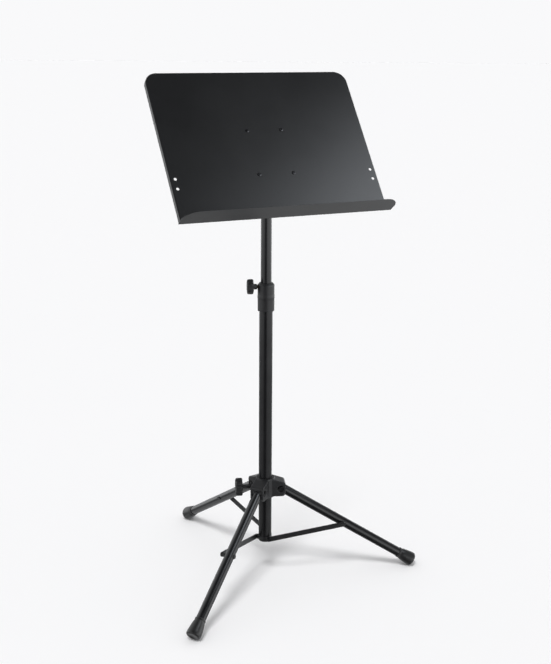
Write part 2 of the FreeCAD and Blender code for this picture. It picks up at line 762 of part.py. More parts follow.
def make_hub():
    """Sliding hub: a sleeve with three hooded lugs, slotted for the legs."""
    body = new_body("hub")
    base = "dims.hub_bottom"
    sleeve = sketch_on(body, "XY_Plane", "hub_sleeve_section")
    circle(sleeve, "dims.hub_sleeve")
    pad(body, sleeve, f"dims.hub_top - {base}")

    # sketch axes on the XZ plane: first outwards from the column, second upwards
    side = sketch_on(body, "XZ_Plane", "hub_lug_side")
    polygon(side, [
        ("0", f"dims.lug_bottom - {base}"),
        ("dims.lug_reach - 5", f"dims.lug_bottom - {base}"),
        ("dims.lug_reach", f"dims.lug_bottom + 5 - {base}"),
        ("dims.lug_reach", f"dims.lug_top - 3 - {base}"),
        ("dims.lug_reach - 3", f"dims.lug_top - {base}"),
        ("dims.hub_sleeve - 5", f"dims.hub_top - 1 - {base}"),
        ("0", f"dims.hub_top - 1 - {base}"),
    ])
    lug = pad(body, side, "dims.lug_width", middle=True)

    # the slot's roof runs parallel to a spread leg and stops it there
    roof = "(dims.leg_radius + dims.hood_gap)"
    slot = sketch_on(body, "XZ_Plane", "hub_slot_side")
    pivot_level = f"(dims.leg_pivot_level - {base})"
    slope = "tan(dims.leg_slope * 1 deg)"
    lift = f"{roof} / cos(dims.leg_slope * 1 deg)"
    outer = "(dims.lug_reach + 3)"
    polygon(slot, [
        ("dims.slot_depth", "-5"),
        (outer, "-5"),
        (outer, f"{pivot_level} + {lift} - ({outer} - dims.leg_pivot_out) * {slope}"),
        ("dims.leg_pivot_out + 4", f"{pivot_level} + {lift} - 4 * {slope}"),
        ("dims.leg_pivot_out - 4", f"{pivot_level} + {lift} - 4 * {slope}"),
        ("dims.slot_depth", f"{pivot_level} + 6"),
    ])
    groove = pocket(body, slot, "dims.slot_width", middle=True)
    bolt = sketch_on(body, "XZ_Plane", "hub_bolt_hole")
    circle(bolt, "dims.leg_bolt_radius", "dims.leg_pivot_out", pivot_level)
    bore = pocket(body, bolt, "dims.lug_width + 2", middle=True)
    recesses = []
    for name, flip in (("left", False), ("right", True)):
        start = "dims.lug_width / 2 - dims.recess_depth"
        recess = sketch_on(body, "XZ_Plane", f"hub_recess_{name}",
                           start if flip else f"-({start})")
        circle(recess, "dims.recess_radius", "dims.leg_pivot_out", pivot_level)
        recesses.append(pocket(body, recess, "dims.recess_depth + 1", reverse=flip))
    polar(body, [lug, groove, bore] + recesses, len(LEGS), sleeve)

    boss = sketch_on(body, "YZ_Plane", "hub_knob_boss")
    screw_level = f"dims.hub_knob_level - {base}"
    circle(boss, "dims.hub_boss_radius", "0", screw_level)
    pad(body, boss, "dims.hub_boss_reach", reverse=True)
    seat = sketch_on(body, "YZ_Plane", "hub_insert_seat")
    circle(seat, "dims.insert_radius", "0", screw_level)
    pocket(body, seat, "dims.hub_boss_reach + 1")
    well = sketch_on(body, "XY_Plane", "hub_well", "-1")
    circle(well, "dims.liner_radius")
    pocket(body, well, "80", reverse=True)
    keep(body, "hub_casting", azimuth(size("leg_azimuth")) * level(size("hub_bottom")))

    liner = rod("hub_liner_sleeve", "dims.liner_radius", "dims.hub_top - dims.hub_bottom",
                Vector(0, 0, size("hub_bottom")))
    hole = rod("hub_liner_bore", "dims.lower_tube_radius + dims.running_clearance", "80",
               Vector(0, 0, size("hub_bottom") - 5))
    window = rod("hub_liner_window", "dims.shoe_hole", "20", Vector())
    window.Placement = clamp_frame(size("hub_knob_level"), 10)
    keep(cut("hub_liner_cut", liner, hole, window), "hub_liner", Placement())


def make_leg_bolts():
    """One bolt through each lug: a round head on one side, a nut on the other."""
    seat = size("lug_width") / 2 - size("recess_depth")
    bolts, nuts = [], []
    for index, name in enumerate(LEGS):
        axis = leg_turn(index) * Placement(
            Vector(size("leg_pivot_out"), 0, size("leg_pivot_level")), ALONG_Y)
        shank = rod(f"leg_bolt_shank_{name}", "dims.leg_bolt_radius",
                    "dims.lug_width - dims.recess_depth", Vector())
        shank.Placement = axis * level(-seat)
        head = rod(f"leg_bolt_head_{name}", "dims.bolt_head_radius", "dims.recess_depth",
                   Vector())
        head.Placement = axis * level(-seat - size("recess_depth"))
        bolts.append(fuse(f"leg_bolt_{name}", shank, head))
        nut = hexagon(f"leg_nut_blank_{name}", "dims.bolt_head_radius",
                      "dims.recess_depth - 0.5", Vector())
        nut.Placement = axis * level(seat)
        hole = rod(f"leg_nut_hole_{name}", "dims.leg_bolt_radius", "dims.recess_depth",
                   Vector())
        hole.Placement = axis * level(seat)
        nuts.append(cut(f"leg_nut_{name}", nut, hole))
    keep(group("leg_bolts", bolts), "leg_bolts", Placement())
    keep(group("leg_nuts", nuts), "leg_nuts", Placement())


# ---------------------------------------------------------------- legs and struts

def make_leg(index, name):
    frame = leg_frame(index)
    body = new_body(f"leg_tube_{name}")
    section = sketch_on(body, "YZ_Plane", f"leg_section_{name}", "dims.leg_tube_start")
    circle(section, "dims.leg_radius")
    circle(section, "dims.leg_radius - dims.tube_wall")
    pad(body, section, "dims.leg_reach - dims.cap_floor - dims.leg_tube_start")
    cross = sketch_on(body, "XZ_Plane", f"leg_cross_hole_{name}")
    circle(cross, "dims.leg_bolt_radius", "dims.strut_station", "0")
    pocket(body, cross, "3 * dims.leg_radius", middle=True)
    keep(body, f"leg_tube_{name}", frame)

    knuckle = rod(f"knuckle_eye_{name}", "dims.leg_radius", "2 * dims.leg_radius",
                  Vector(0, -size("leg_radius"), 0), ALONG_Y)
    neck = rod(f"knuckle_neck_{name}", "dims.leg_radius - dims.neck_step", "dims.leg_tube_start",
               Vector(), ALONG_X)
    insert = rod(f"knuckle_insert_{name}", "dims.leg_radius - dims.tube_wall",
                 "dims.knuckle_insert + 1", Vector(size("leg_tube_start") - 1, 0, 0), ALONG_X)
    bore = rod(f"knuckle_bore_{name}", "dims.leg_bolt_radius + dims.running_clearance",
               "4 * dims.leg_radius", Vector(0, -2 * size("leg_radius"), 0), ALONG_Y)
    keep(cut(f"knuckle_cut_{name}", fuse(f"knuckle_cast_{name}", knuckle, neck, insert), bore),
         f"leg_knuckle_{name}", frame)

    # the cross rivet has a head on one side and, on the strut's side, a spacer
    start = size("strut_station")
    spacer_end = size("strut_offset") - size("strut_thickness") / 2 - 0.3
    ends = rod(f"spreader_ends_{name}", "dims.boss_radius", f"{spacer_end + size('boss_head')}",
               Vector(start, -spacer_end, 0), ALONG_Y)
    saddle = rod(f"spreader_saddle_{name}", "dims.leg_radius", "40", Vector(start - 20, 0, 0),
                 ALONG_X)
    pin = rod(f"spreader_pin_{name}", "dims.leg_bolt_radius",
              f"{spacer_end + size('boss_head') - 0.5}",
              Vector(start, -spacer_end, 0), ALONG_Y)
    keep(fuse(f"spreader_whole_{name}", cut(f"spreader_cut_{name}", ends, saddle), pin),
         f"spreader_rivet_{name}", frame)
    make_foot_cap(name, frame)


def make_foot_cap(name, frame):
    """Rubber cap: a lip on the tube, a flare and a rounded end with a small flat sole."""
    body = new_body(f"foot_cap_{name}")
    start = "(dims.leg_reach - dims.cap_length)"
    profile = sketch_on(body, "XZ_Plane", f"cap_profile_{name}")
    polygon(profile, [
        (start, "dims.leg_radius"),
        (start, "dims.cap_lip"),
        (f"{start} + dims.cap_lip_length", "dims.cap_lip"),
        (f"{start} + dims.cap_lip_length + 1", "dims.cap_lip - 0.5"),
        (f"{start} + dims.cap_lip_length + 2.2", "dims.cap_lip + 0.2"),
        ("dims.leg_reach - 7", "dims.cap_end"),
        ("dims.leg_reach", "dims.cap_end"),
        ("dims.leg_reach", "0"),
        ("dims.leg_reach - dims.cap_floor", "0"),
        ("dims.leg_reach - dims.cap_floor", "dims.leg_radius"),
    ])
    turned = revolve(body, profile, "H_Axis")
    reach = size("leg_reach")
    round_edges(body, turned, "dims.cap_fillet",
                lambda e: isinstance(e.Curve, Part.Circle) and abs(e.CenterOfMass.x - reach) < 1e-6)
    body.Label = f"foot_cap_blank_{name}"
    body.Placement = frame
    floor = doc.addObject("Part::Box", f"floor_{name}")
    floor.Length, floor.Width, floor.Height = 1200, 1200, 50
    floor.Placement = Placement(Vector(-600, -600, -50), Rotation())
    keep(cut(f"foot_cap_cut_{name}", body, floor), f"foot_cap_{name}")


def make_strut(index, name):
    length = strut_layout()[0]
    half = size("strut_thickness") / 2
    bar = doc.addObject("Part::Box", f"strut_bar_{name}")
    bind(bar, Width="dims.strut_thickness", Height="dims.strut_height")
    bar.Length = length
    bar.Placement = Placement(Vector(0, -half, -size("strut_height") / 2), Rotation())
    ends, holes = [], []
    for number, x in enumerate((0, length)):
        ends.append(rod(f"strut_end_{name}_{number}", "dims.strut_height / 2",
                        "dims.strut_thickness", Vector(x, -half, 0), ALONG_Y))
        holes.append(rod(f"strut_eye_{name}_{number}", "dims.strut_hole",
                         "dims.strut_thickness", Vector(x, -half, 0), ALONG_Y))
    keep(cut(f"strut_cut_{name}", fuse(f"strut_blank_{name}", bar, *ends), *holes),
         f"strut_{name}", strut_frame(index))
    shank = rod(f"strut_rivet_shank_{name}", "dims.strut_hole", "dims.strut_thickness",
                Vector(length, -half, 0), ALONG_Y)
    head = rod(f"strut_rivet_head_{name}", "dims.rivet_head_radius", "dims.rivet_head_height",
               Vector(length, -half - size("rivet_head_height"), 0), ALONG_Y)
    keep(fuse(f"strut_rivet_whole_{name}", shank, head), f"strut_rivet_{name}",
         strut_frame(index))


# ---------------------------------------------------------------- assembly

def make_tilt_knob():
    cheek = size("cheek_inner") + size("cheek_thickness")
    start = cheek + size("face_gap") + 3
    bore = "dims.tilt_bolt_radius + dims.running_clearance"
    make_knob("tilt_knob", "dims.tilt_knob_radius", "dims.tilt_knob_thickness", "9", "3", 6, bore,
              desk_frame() * Placement(Vector(start, 0, 0), ALONG_X))


def make_clamps():
    tube_face = size("upper_tube_radius") + 0.2
    make_clamp("height", size("height_knob_level"), "height_knob", 6,
               stud_start=tube_face + 2.0, insert_start=size("collar_bore") + 0.1,
               insert_end=size("collar_radius"), shoe_start=tube_face)
    hub_face = size("lower_tube_radius") + 0.2
    make_clamp("hub", size("hub_knob_level"), "hub_knob", 8,
               stud_start=hub_face + 2.4, insert_start=size("liner_radius") + 1.2,
               insert_end=size("hub_boss_reach"), shoe_start=hub_face)


def check(obj):
    """Refuse a document object that failed to compute."""
    if "Invalid" in obj.State or "Error" in obj.State:
        raise ValueError(f"{obj.Label} did not compute")


def export():
    os.makedirs("parts", exist_ok=True)
    for obj in doc.Objects:
        check(obj)
    for obj in parts:
        shape = obj.Shape
        if shape.isNull() or not shape.isValid():
            raise ValueError(f"{obj.Label} has no valid shape")
        shape.exportStep(f"parts/{obj.Label}.step")
        print(f"{obj.Label}: {len(shape.Solids)} solid(s), {shape.Volume:.0f} mm3")


make_desk()
make_bracket()
make_desk_fasteners()
make_tilt_bolt()
make_friction_washers()
make_tilt_head()
make_tilt_knob()
make_column()
make_collar()
make_foot_bracket()
make_hub()
make_leg_bolts()
make_clamps()
for leg_index, leg_name in enumerate(LEGS):
    make_leg(leg_index, leg_name)
    make_strut(leg_index, leg_name)
doc.recompute()
export()
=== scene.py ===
import json
import math

import bmesh
import bpy
from mathutils import Matrix, Vector

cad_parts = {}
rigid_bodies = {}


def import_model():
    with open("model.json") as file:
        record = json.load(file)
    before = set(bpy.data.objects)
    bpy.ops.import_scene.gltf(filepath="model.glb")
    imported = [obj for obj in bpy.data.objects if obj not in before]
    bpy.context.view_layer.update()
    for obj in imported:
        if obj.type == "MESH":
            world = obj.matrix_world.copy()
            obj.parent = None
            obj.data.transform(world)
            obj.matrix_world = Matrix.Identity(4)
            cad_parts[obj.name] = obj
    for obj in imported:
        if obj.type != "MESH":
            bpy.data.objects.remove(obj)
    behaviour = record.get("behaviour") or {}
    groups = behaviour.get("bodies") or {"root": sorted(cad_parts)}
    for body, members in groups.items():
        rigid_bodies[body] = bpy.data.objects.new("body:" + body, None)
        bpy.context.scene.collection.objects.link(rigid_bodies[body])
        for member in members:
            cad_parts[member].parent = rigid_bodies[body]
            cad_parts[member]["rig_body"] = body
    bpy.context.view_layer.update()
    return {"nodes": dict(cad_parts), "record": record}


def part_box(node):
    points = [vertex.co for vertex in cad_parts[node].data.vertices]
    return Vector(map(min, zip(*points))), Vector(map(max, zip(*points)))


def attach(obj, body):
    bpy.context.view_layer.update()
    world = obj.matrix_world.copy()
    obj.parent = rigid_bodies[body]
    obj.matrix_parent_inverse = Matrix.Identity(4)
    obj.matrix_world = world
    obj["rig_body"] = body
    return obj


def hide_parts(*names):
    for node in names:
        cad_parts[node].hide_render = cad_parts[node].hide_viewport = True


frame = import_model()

scene = bpy.context.scene
LEGS = ("right", "back", "front")

# ------------------------------------------------------------------ camera and light values

# Yaw to the right, pitch down and roll in radians; lens in millimetres on a 36 mm sensor.
CAMERA_TURN = (0.445802, 0.263548, 0.006976)
CAMERA_PLACE = (-1.057815, -2.266440, 1.295394)
CAMERA_LENS, CAMERA_SENSOR, CAMERA_REACH = 59.186765, 36.0, 60.0

# Levels of what glossy surfaces mirror, as a share of PANEL_STRENGTH, against a direction's
# place along an axis, from -1 (0) to 1 (1).
TO_RIGHT, TO_CAMERA = (0.902, -0.431, 0.0), (-0.431, -0.902, 0.0)
UPWARDS, TO_LOFT = (0.0, 0.0, 1.0), (-0.451, 0.621, 0.641)
ACROSS = ((0.0, 0.56), (0.14, 0.58), (0.32, 0.08), (0.42, 0.03), (0.57, 0.03), (0.63, 0.36),
          (0.70, 0.68), (0.86, 0.80), (1.0, 0.78))
DEPTH = ((0.0, 0.33), (0.38, 0.33), (0.52, 0.02), (1.0, 0.02))
HEIGHT = ((0.0, 0.80), (0.12, 0.68), (0.22, 0.30), (0.31, 0.18), (0.365, 0.18), (0.42, 0.95),
          (0.47, 1.0), (0.62, 0.7), (0.74, 0.10), (0.82, 0.02), (1.0, 0.02))
LOFT = ((0.0, 0.0), (0.87, 0.0), (0.96, 0.22), (1.0, 0.36))
PANEL_STRENGTH, PANEL_TINT = 3.0, (0.97, 0.985, 1.0)
# Strength of the even diffuse light, and the colour that the camera sees behind the floor.
AMBIENT, BACKDROP = 0.58, (0.947, 0.947, 0.958)
# The key light: its strength, the angle of its disc in degrees and the way it shines.
KEY, KEY_ANGLE, KEY_WAY = 1.55, 18.0, (0.324, 0.399, -1.0)
# The sheen light: its place, what it faces, width, height, power and colour.
SHEEN = ((0.65, -0.51, 1.38), (0.20, -0.10, 0.93), 0.75, 0.65, 6.2, (0.95, 1.0, 1.06))
FLOOR_HALF, FLOOR_COLOUR = 400.0, (0.93, 0.93, 0.941)

# ------------------------------------------------------------------ sizes, in metres

# The desk along its own axes from the tilt pivot: its lean from upright in degrees, half
# its width, the levels of its face and of its flange's back edge, its foot and its top.
DESK_TILT = 36.5
DESK_HALF, DESK_FACE, DESK_BACK = 0.254, 0.024, 0.012
DESK_FOOT, DESK_TOP = -0.1665, 0.2129
# Radii of the upper corners, of the roll into the flange and of the bend into the ledge.
DESK_CORNER, DESK_ROLL, DESK_BEND = 0.030, 0.0024, 0.002
# The sheet's thickness, how far above its foot the flange starts, and how far below that
# the sides begin to widen into the ledge.
DESK_SHEET, DESK_RELIEF, DESK_LAP = 0.0012, 0.008, 0.0005
LEDGE_HALF, LEDGE_CORNER, LEDGE_NOSE = 0.26075, 0.036, 0.0785
HOLE_RADIUS, HOLE_ACROSS, HOLE_LEVELS = 0.0035, 0.2413, (-0.0815, -0.0574)
SCREW_ACROSS, SCREW_ALONG, SCREW_SHANK, SCREW_END = 0.0425, 0.0565, 0.0025, 0.0152
# A screw head's radius, height and the power of its dome; then its cross recess, as shares
# of the radius (reach, half width) and of the height (depth).
HEAD_RADIUS, HEAD_HEIGHT, HEAD_DOME = 0.0048, 0.002, 2.4
CROSS_REACH, CROSS_WIDTH, CROSS_DEPTH = 0.62, 0.17, 0.55
# A leg's slope in degrees and its reach from the hub's pivot to the end of the foot cap.
LEG_SLOPE, LEG_REACH = 32.0, 0.4
CAP_LENGTH, CAP_LIP, CAP_END, CAP_BORE, CAP_ROUND = 0.044, 0.0129, 0.0174, 0.0115, 0.0045
# The cap's rolled lip and first groove: distance from the cap's start, and radius.
CAP_RIM = ((0.003, CAP_BORE), (0.0006, CAP_BORE), (0.0, CAP_BORE + 0.0005),
           (0.0, CAP_LIP - 0.0008), (0.0004, CAP_LIP - 0.0002), (0.0014, CAP_LIP),
           (0.0036, CAP_LIP), (0.0046, CAP_LIP - 0.0002), (0.0052, CAP_LIP - 0.0008),
           (0.0062, CAP_LIP - 0.0009), (0.0070, CAP_LIP - 0.0002))
# The lowest that a foot reaches above the floor's plane.
FLOOR_GAP = 0.00001
# Knobs: radius, thickness of the grip, radius of the neck, whole length, lobes.
KNOBS = {"height_knob": (0.018, 0.015, 0.0065, 0.0235, 6),
         "hub_knob": (0.023, 0.017, 0.0055, 0.042, 8),
         "tilt_knob": (0.015, 0.014, 0.009, 0.017, 6)}
LOBE_DEPTH, SPOKES_PER_LOBE = 0.16, 24
# Castings: node, body, finish, voxel of the remesh and passes of smoothing.
CASTINGS = (("hub_casting", "hub", "hub_plastic", 0.0008, 12),
            ("height_collar", "column", "hub_plastic", 0.0006, 8),
            ("tilt_head", "post", "bracket_paint", 0.0006, 8),
            ("foot_bracket", "column", "strut_paint", 0.0005, 6))
EDGE_WIDTH, SHEET_EDGE = 0.0004, 0.00018
EDGED_NODES = ["desk_bracket"] + ["strut_" + leg for leg in LEGS]


# ------------------------------------------------------------------ camera

def make_camera():
    """Camera at the photograph's place: yaw to the right, pitch down, a little roll."""
    yaw, pitch, roll = CAMERA_TURN
    forward = Vector((math.sin(yaw) * math.cos(pitch), math.cos(yaw) * math.cos(pitch),
                      -math.sin(pitch)))
    right = forward.cross(Vector((0, 0, 1))).normalized()
    up = right.cross(forward)
    tilted_right = right * math.cos(roll) + up * math.sin(roll)
    tilted_up = up * math.cos(roll) - right * math.sin(roll)
    data = bpy.data.cameras.new("camera")
    data.sensor_width = CAMERA_SENSOR
    data.lens = CAMERA_LENS
    data.clip_end = CAMERA_REACH
    camera = bpy.data.objects.new("camera", data)
    turn = Matrix((tilted_right, tilted_up, -forward)).transposed().to_4x4()
    camera.matrix_world = Matrix.Translation(CAMERA_PLACE) @ turn
    scene.collection.objects.link(camera)
    scene.camera = camera


# ------------------------------------------------------------------ studio

def add_area(name, place, target, width, height, power, colour):
    """Rectangular light at a place, facing a target."""
    data = bpy.data.lights.new(name, "AREA")
    data.shape = "RECTANGLE"
    data.size = width
    data.size_y = height
    data.energy = power
    data.color = colour
    light = bpy.data.objects.new(name, data)
    light.location = place
    aim = Vector(target) - Vector(place)
    light.rotation_euler = aim.to_track_quat("-Z", "Y").to_euler()
    scene.collection.objects.link(light)
    return light


def make_world():
    """Pale surround: white to the eye and even for diffuse light; what glossy surfaces
    mirror is a dark side behind the camera and bright panels left, right and behind."""
    world = bpy.data.worlds.new("studio")
    scene.world = world
    world.use_nodes = True
    nodes, links = world.node_tree.nodes, world.node_tree.links
    nodes.clear()
    place = nodes.new("ShaderNodeTexCoord")

    def background(colour, strength):
        node = nodes.new("ShaderNodeBackground")
        node.inputs["Color"].default_value = (*colour, 1)
        node.inputs["Strength"].default_value = strength
        return node

    def ramp(value, stops):
        node = nodes.new("ShaderNodeValToRGB")
        elements = node.color_ramp.elements
        elements[0].position, elements[1].position = stops[0][0], stops[-1][0]
        for position, level in stops[1:-1]:
            elements.new(position)
        for element, (position, level) in zip(elements, stops):
            element.position = position
            element.color = (level, level, level, 1)
        links.new(value, node.inputs["Fac"])
        return node.outputs["Color"]

    def along(axis):
        dot = nodes.new("ShaderNodeVectorMath")
        dot.operation = "DOT_PRODUCT"
        dot.inputs[1].default_value = axis
        links.new(place.outputs["Generated"], dot.inputs[0])
        half = nodes.new("ShaderNodeMath")
        half.operation = "MULTIPLY_ADD"
        half.inputs[1].default_value = 0.5
        half.inputs[2].default_value = 0.5
        links.new(dot.outputs["Value"], half.inputs[0])
        return half.outputs["Value"]

    def combine(operation, one, other):
        node = nodes.new("ShaderNodeMath")
        node.operation = operation
        links.new(one, node.inputs[0])
        links.new(other, node.inputs[1])
        return node.outputs["Value"]

    across = ramp(along(TO_RIGHT), ACROSS)
    depth = ramp(along(TO_CAMERA), DEPTH)
    height = ramp(along(UPWARDS), HEIGHT)
    loft = ramp(along(TO_LOFT), LOFT)
    shell = combine("ADD", combine("MULTIPLY", combine("MAXIMUM", across, depth), height), loft)

    mirrored = background(PANEL_TINT, 1.0)
    scaled = nodes.new("ShaderNodeMath")
    scaled.operation = "MULTIPLY"
    scaled.inputs[1].default_value = PANEL_STRENGTH
    links.new(shell, scaled.inputs[0])
    links.new(scaled.outputs["Value"], mirrored.inputs["Strength"])
    even = background((1.0, 1.0, 1.0), AMBIENT)
    seen = background(BACKDROP, 1.0)
    path = nodes.new("ShaderNodeLightPath")
    glossy = nodes.new("ShaderNodeMixShader")
    links.new(path.outputs["Is Glossy Ray"], glossy.inputs["Fac"])
    links.new(even.outputs["Background"], glossy.inputs[1])
    links.new(mirrored.outputs["Background"], glossy.inputs[2])
    final = nodes.new("ShaderNodeMixShader")
    links.new(path.outputs["Is Camera Ray"], final.inputs["Fac"])
    links.new(glossy.outputs["Shader"], final.inputs[1])
    links.new(seen.outputs["Background"], final.inputs[2])
    out = nodes.new("ShaderNodeOutputWorld")
    links.new(final.outputs["Shader"], out.inputs["Surface"])


def make_floor():
    """Wide, pale, matt floor that glossy surfaces don't mirror."""
    mesh = bpy.data.meshes.new("floor")
    half = FLOOR_HALF
    mesh.from_pydata([(-half, -half, 0), (half, -half, 0), (half, half, 0), (-half, half, 0)],
                     [], [(0, 1, 2, 3)])
    floor = bpy.data.objects.new("floor", mesh)
    scene.collection.objects.link(floor)
    paint = bpy.data.materials.new("floor_paint")
    paint.use_nodes = True
    shader = paint.node_tree.nodes["Principled BSDF"]
    shader.inputs["Base Color"].default_value = (*FLOOR_COLOUR, 1)
    shader.inputs["Roughness"].default_value = 1.0
    shader.inputs["Specular IOR Level"].default_value = 0.0
    mesh.materials.append(paint)
    floor.visible_glossy = False


def make_studio():
    """World, floor, a key light without highlights and a sheen light with nothing else."""
    scene.view_settings.view_transform = "Standard"
    scene.view_settings.look = "None"
    make_world()
    make_floor()
    data = bpy.data.lights.new("key", "SUN")
    data.energy = KEY
    data.angle = math.radians(KEY_ANGLE)
    key = bpy.data.objects.new("key", data)
    key.rotation_euler = Vector(KEY_WAY).to_track_quat("-Z", "Y").to_euler()
    key.visible_glossy = False
    scene.collection.objects.link(key)
    sheen = add_area("sheen", *SHEEN)
    sheen.visible_diffuse = False
    sheen.visible_camera = False


# ------------------------------------------------------------------ materials

def procedural(name, dark, light, roughness, grain, bump, metallic=0.0, mottle=14.0):
    """Opaque finish: mottled colour, uneven roughness and a fine grain that bumps it.

    dark and light are the two tones, roughness its two limits, grain the grain's
    frequency per metre and bump its height in metres."""
    material = bpy.data.materials.new(name)
    material.use_nodes = True
    nodes, links = material.node_tree.nodes, material.node_tree.links
    shader = nodes["Principled BSDF"]
    shader.inputs["Metallic"].default_value = metallic
    place = nodes.new("ShaderNodeTexCoord")

    cloud = nodes.new("ShaderNodeTexNoise")
    cloud.inputs["Scale"].default_value = mottle
    cloud.inputs["Detail"].default_value = 6.0
    cloud.inputs["Roughness"].default_value = 0.6
    tone = nodes.new("ShaderNodeValToRGB")
    tone.color_ramp.elements[0].position = 0.3
    tone.color_ramp.elements[0].color = (*dark, 1)
    tone.color_ramp.elements[1].position = 0.72
    tone.color_ramp.elements[1].color = (*light, 1)
    links.new(place.outputs["Object"], cloud.inputs["Vector"])
    links.new(cloud.outputs["Fac"], tone.inputs["Fac"])
    links.new(tone.outputs["Color"], shader.inputs["Base Color"])

    fine = nodes.new("ShaderNodeTexNoise")
    fine.inputs["Scale"].default_value = grain
    fine.inputs["Detail"].default_value = 3.0
    links.new(place.outputs["Object"], fine.inputs["Vector"])
    gloss = nodes.new("ShaderNodeMapRange")
    gloss.inputs["From Min"].default_value = 0.3
    gloss.inputs["From Max"].default_value = 0.7
    gloss.inputs["To Min"].default_value = roughness[0]
    gloss.inputs["To Max"].default_value = roughness[1]
    links.new(cloud.outputs["Fac"], gloss.inputs["Value"])
    links.new(gloss.outputs["Result"], shader.inputs["Roughness"])

    relief = nodes.new("ShaderNodeBump")
    relief.inputs["Strength"].default_value = 0.6
    relief.inputs["Distance"].default_value = bump
    links.new(fine.outputs["Fac"], relief.inputs["Height"])
    links.new(relief.outputs["Normal"], shader.inputs["Normal"])
    return material


def make_materials():
    """Every finish, by the name of its material slot."""
    return {
        "desk_paint": procedural("desk_paint", (0.0080, 0.0083, 0.0092), (0.0100, 0.0104, 0.0114),
                                 (0.38, 0.45), 900, 0.00005, mottle=5),
        "bracket_paint": procedural("bracket_paint", (0.013, 0.013, 0.014), (0.018, 0.018, 0.019),
                                    (0.34, 0.44), 800, 0.00006),
        "tube_paint": procedural("tube_paint", (0.006, 0.006, 0.007), (0.009, 0.009, 0.01),
                                 (0.2, 0.28), 260, 0.00004, mottle=22),
        "strut_paint": procedural("strut_paint", (0.008, 0.008, 0.009), (0.012, 0.012, 0.013),
                                  (0.28, 0.38), 420, 0.00005, mottle=40),
        "hub_plastic": procedural("hub_plastic", (0.008, 0.008, 0.009), (0.012, 0.012, 0.0135),
                                  (0.38, 0.50), 1500, 0.00009, mottle=60),
        "knob_plastic": procedural("knob_plastic", (0.008, 0.008, 0.0085), (0.012, 0.012, 0.0125),
                                   (0.4, 0.52), 1500, 0.00008, mottle=70),
        "foot_rubber": procedural("foot_rubber", (0.009, 0.009, 0.0095), (0.016, 0.016, 0.0165),
                                  (0.3, 0.46), 700, 0.00006, mottle=45),
        "nylon": procedural("nylon", (0.012, 0.012, 0.012), (0.018, 0.018, 0.018),
                            (0.38, 0.5), 500, 0.00004, mottle=80),
        "screw_steel": procedural("screw_steel", (0.03, 0.03, 0.032), (0.05, 0.05, 0.053),
                                  (0.26, 0.38), 900, 0.00003, metallic=1.0, mottle=120),
        "rivet_black": procedural("rivet_black", (0.012, 0.012, 0.013), (0.02, 0.02, 0.021),
                                  (0.28, 0.4), 600, 0.00004, mottle=120),
        "zinc_steel": procedural("zinc_steel", (0.035, 0.035, 0.037), (0.06, 0.06, 0.062),
                                 (0.25, 0.4), 700, 0.00003, metallic=1.0, mottle=120),
        "brass": procedural("brass", (0.09, 0.07, 0.035), (0.13, 0.10, 0.05), (0.22, 0.36), 600,
                            0.00003, metallic=1.0, mottle=120),
    }


# ------------------------------------------------------------------ detailed pieces

def new_piece(name, mesh, placement, body, slot, nodes, materials):
    """Show a mesh in the given place, riding on a body, in place of CAD nodes."""
    mesh.transform(placement)
    piece = bpy.data.objects.new(name, mesh)
    scene.collection.objects.link(piece)
    mesh.materials.append(materials[slot])
    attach(piece, body)
    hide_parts(*nodes)
    return piece


def mesh_from(name, build):
    """Mesh made by a function that fills a bmesh, with smooth faces."""
    bm = bmesh.new()
    build(bm)
    bmesh.ops.recalc_face_normals(bm, faces=bm.faces)
    for face in bm.faces:
        face.smooth = True
    mesh = bpy.data.meshes.new(name)
    bm.to_mesh(mesh)
    bm.free()
    return mesh


def soft_edges(piece, width):
    """Small rounds on every sharp edge."""
    bevel = piece.modifiers.new("edges", "BEVEL")
    bevel.width = width
    bevel.segments = 2
    bevel.limit_method = "ANGLE"
    bevel.angle_limit = math.radians(35.0)
    bevel.harden_normals = True


def joint(name):
    """The record's entry of a joint."""
    for entry in frame["record"]["behaviour"]["joints"]:
        if entry["name"] == name:
            return entry
    raise KeyError(name)


def frame_of(origin, along_z, along_x):
    """Placement at origin with its Z and X axes in the given directions."""
    z = Vector(along_z).normalized()
    x = (Vector(along_x) - z * z.dot(Vector(along_x))).normalized()
    turn = Matrix((x, z.cross(x), z)).transposed().to_4x4()
    return Matrix.Translation(Vector(origin)) @ turn


def desk_frame():
    """The desk's own axes at its tilt pivot: across, up along the face, out of the face."""
    tilt = math.radians(DESK_TILT)
    out = Vector((0, -math.cos(tilt), math.sin(tilt)))
    return frame_of(joint("desk_tilt")["pos_m"], out, (1, 0, 0))


def ring_between(bm, one, other, closed=False):
    """Quads between two rows of vertices, which may close into rings."""
    count = len(one) if closed else len(one) - 1
    for i in range(count):
        j = (i + 1) % len(one)
        bm.faces.new((one[i], one[j], other[j], other[i]))


